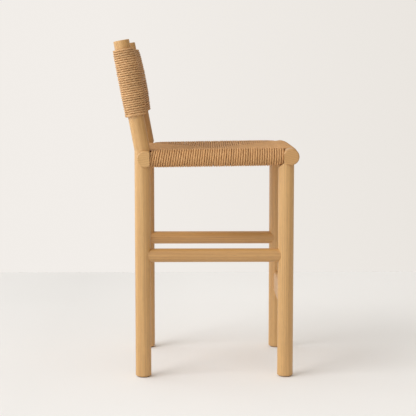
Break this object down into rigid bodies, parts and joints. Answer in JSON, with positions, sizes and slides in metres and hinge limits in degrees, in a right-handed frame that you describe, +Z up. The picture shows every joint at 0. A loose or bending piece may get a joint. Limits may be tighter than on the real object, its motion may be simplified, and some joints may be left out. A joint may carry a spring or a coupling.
{
  "type": "bar stool with footrest",
  "caption": "Counter-height bar stool: round-section wooden frame, woven cord seat, leaning cord-wrapped back, tied legs and an oval footrest bar between the front legs.",
  "frame": {"origin": "on the floor, at the middle of the stool's bounding footprint", "axes": "+Z up, -Y the way the sitter faces, +X the sitter's left"},
  "size_m": [0.459, 0.5294, 0.9645],
  "materials": {
    "frame_wood": "pale oak with a matt clear oil",
    "dowel_wood": "raw beech",
    "seat_cord": "two-ply twisted paper cord",
    "back_cord": "two-ply twisted paper cord",
    "tack_steel": "plain wire steel",
    "glide_felt": "pressed wool felt"
  },
  "bodies": {
    "root": {"front_leg_right": "frame_wood", "front_leg_left": "frame_wood", "rear_leg_right": "frame_wood", "rear_leg_left": "frame_wood", "back_post_right": "frame_wood", "back_post_left": "frame_wood", "front_rail": "frame_wood", "rear_rail": "frame_wood", "side_rail_right": "frame_wood", "side_rail_left": "frame_wood", "side_stretcher_right": "frame_wood", "side_stretcher_left": "frame_wood", "rear_stretcher": "frame_wood", "front_footrest": "frame_wood", "back_spreader_top": "frame_wood", "back_spreader_bottom": "frame_wood", "seat_cord_right_rail": "seat_cord", "seat_cord_left_rail": "seat_cord", "seat_cord_front_rail": "seat_cord", "seat_cord_rear_rail": "seat_cord", "seat_cord_top": "seat_cord", "seat_cord_underside": "seat_cord", "back_cord_right_post": "back_cord", "back_cord_left_post": "back_cord", "back_cord_front": "back_cord", "back_cord_rear": "back_cord", "front_corner_dowels": "dowel_wood", "rear_corner_dowels": "dowel_wood", "seat_cord_tacks": "tack_steel", "back_cord_tacks": "tack_steel", "foot_glides": "glide_felt"}
  },
  "joints": []
}
